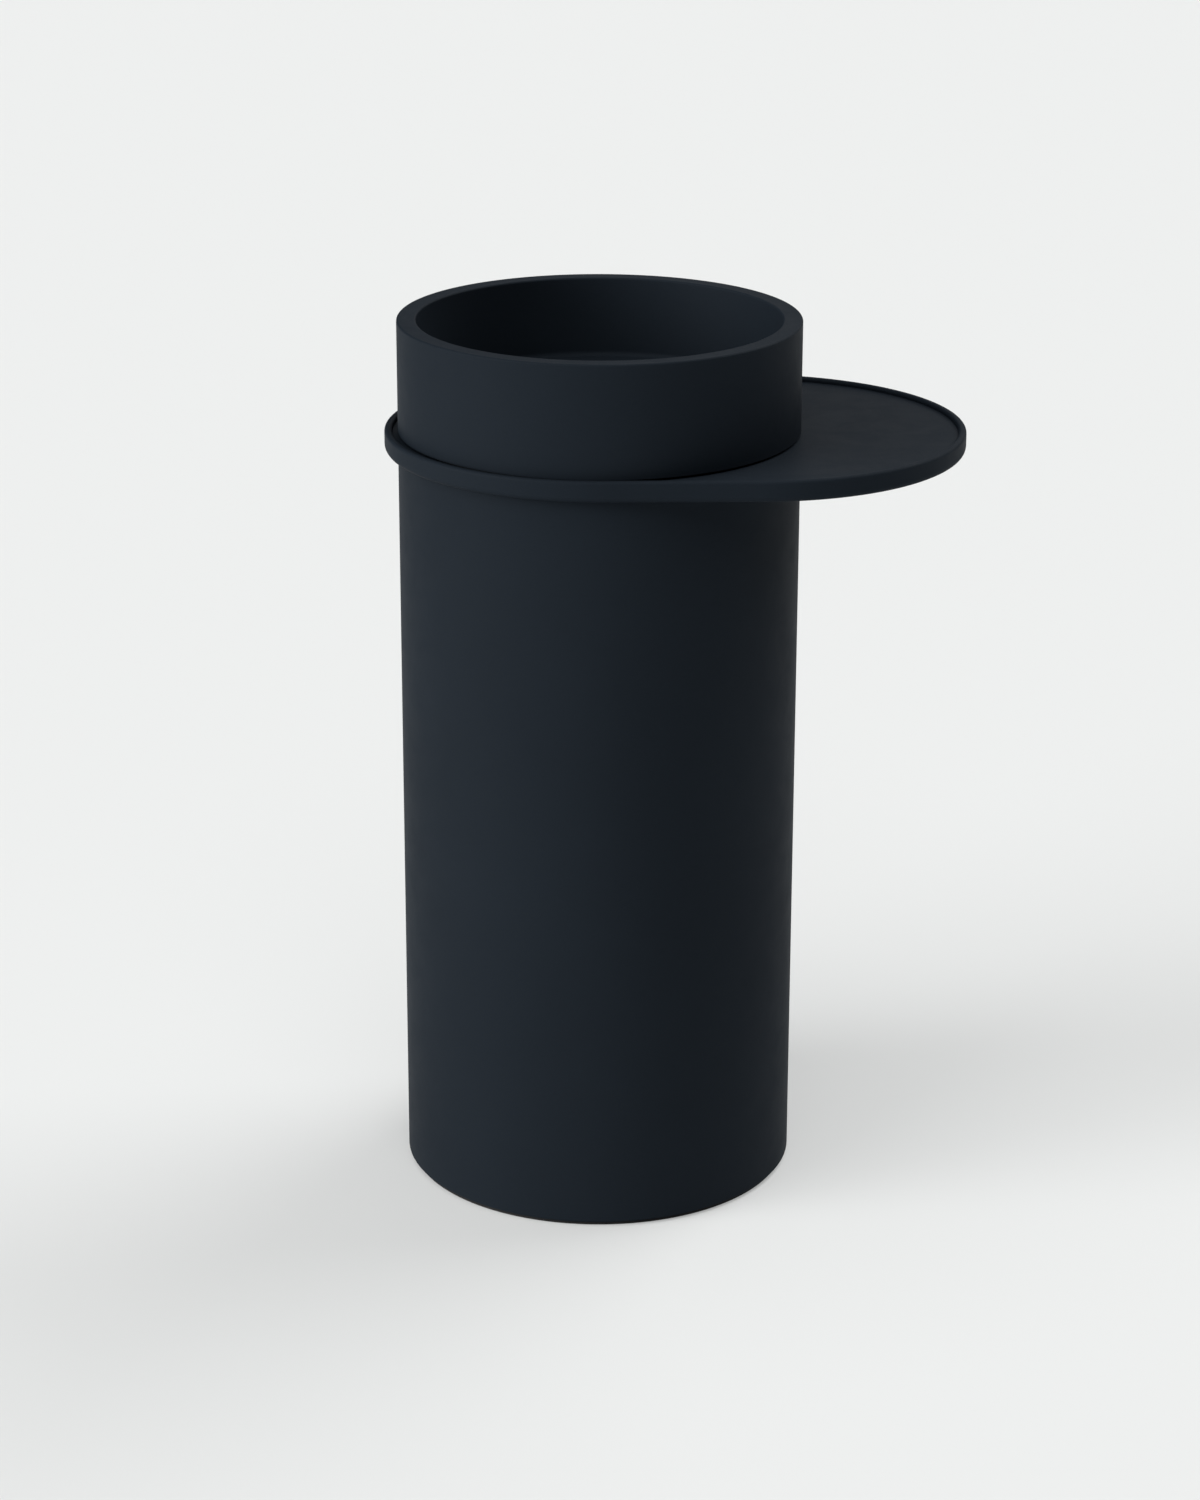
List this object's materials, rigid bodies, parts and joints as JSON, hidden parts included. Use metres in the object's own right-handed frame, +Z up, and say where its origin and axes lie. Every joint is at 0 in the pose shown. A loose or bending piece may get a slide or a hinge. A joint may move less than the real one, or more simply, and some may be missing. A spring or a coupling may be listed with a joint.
{
  "type": "ashtray bin",
  "caption": "Standing round steel ashtray bin with a bowl in its lift-off head, a lipped side tray under the head and a lift-out ash bucket inside.",
  "frame": {"origin": "on the axis of the round body, at the level of the surface that the bin stands on", "axes": "+Z up along the body's axis, +X towards the side tray, +Y across the tray"},
  "size_m": [0.4328, 0.32, 0.669],
  "materials": {
    "coat": "fine-textured matte powder coat, blue graphite",
    "stainless": "brushed stainless steel",
    "galvanised": "dull hot-dip galvanised, faint spangle",
    "rubber": "matte black rubber",
    "grip": "matte black moulded plastic"
  },
  "bodies": {
    "stand": {"foot_pad": "rubber", "base_plate": "coat", "body_shell": "coat", "guide_lugs": "coat", "collar_ring": "coat", "tray_plate": "coat", "tray_rim": "coat", "tray_ribs": "coat", "tray_screws": "stainless"},
    "head": {"head_shell": "coat", "bowl_floor": "coat", "locating_ring": "coat", "head_base_ring": "coat", "head_gasket": "rubber", "latch_bushing": "stainless", "latch_nut": "stainless"},
    "latch": {"latch_core": "stainless", "latch_cam": "stainless", "latch_cam_nut": "stainless"},
    "grate": {"stub_grate": "stainless", "grate_knob": "stainless", "grate_screw": "stainless"},
    "bucket": {"bucket": "galvanised", "bucket_ears": "galvanised", "ear_rivets": "stainless"},
    "bail": {"bail": "galvanised", "bail_grip": "grip"}
  },
  "joints": [
    {"name": "head_lift", "type": "slide", "parent": "stand", "child": "head", "axis": [0, 0, 1], "range_m": [0, 0.3]},
    {"name": "latch_turn", "type": "hinge", "parent": "head", "child": "latch", "pos_m": [0, -0.112, 0.57], "axis": [0, 0, 1], "range_deg": [-90, 0]},
    {"name": "grate_lift", "type": "slide", "parent": "head", "child": "grate", "axis": [0, 0, 1], "range_m": [0, 0.12]},
    {"name": "bucket_lift", "type": "slide", "parent": "stand", "child": "bucket", "axis": [0, 0, 1], "range_m": [0, 0.075]},
    {"name": "bail_swing", "type": "hinge", "parent": "bucket", "child": "bail", "pos_m": [0, 0, 0.465], "axis": [1, 0, 0], "range_deg": [0, 204]}
  ]
}
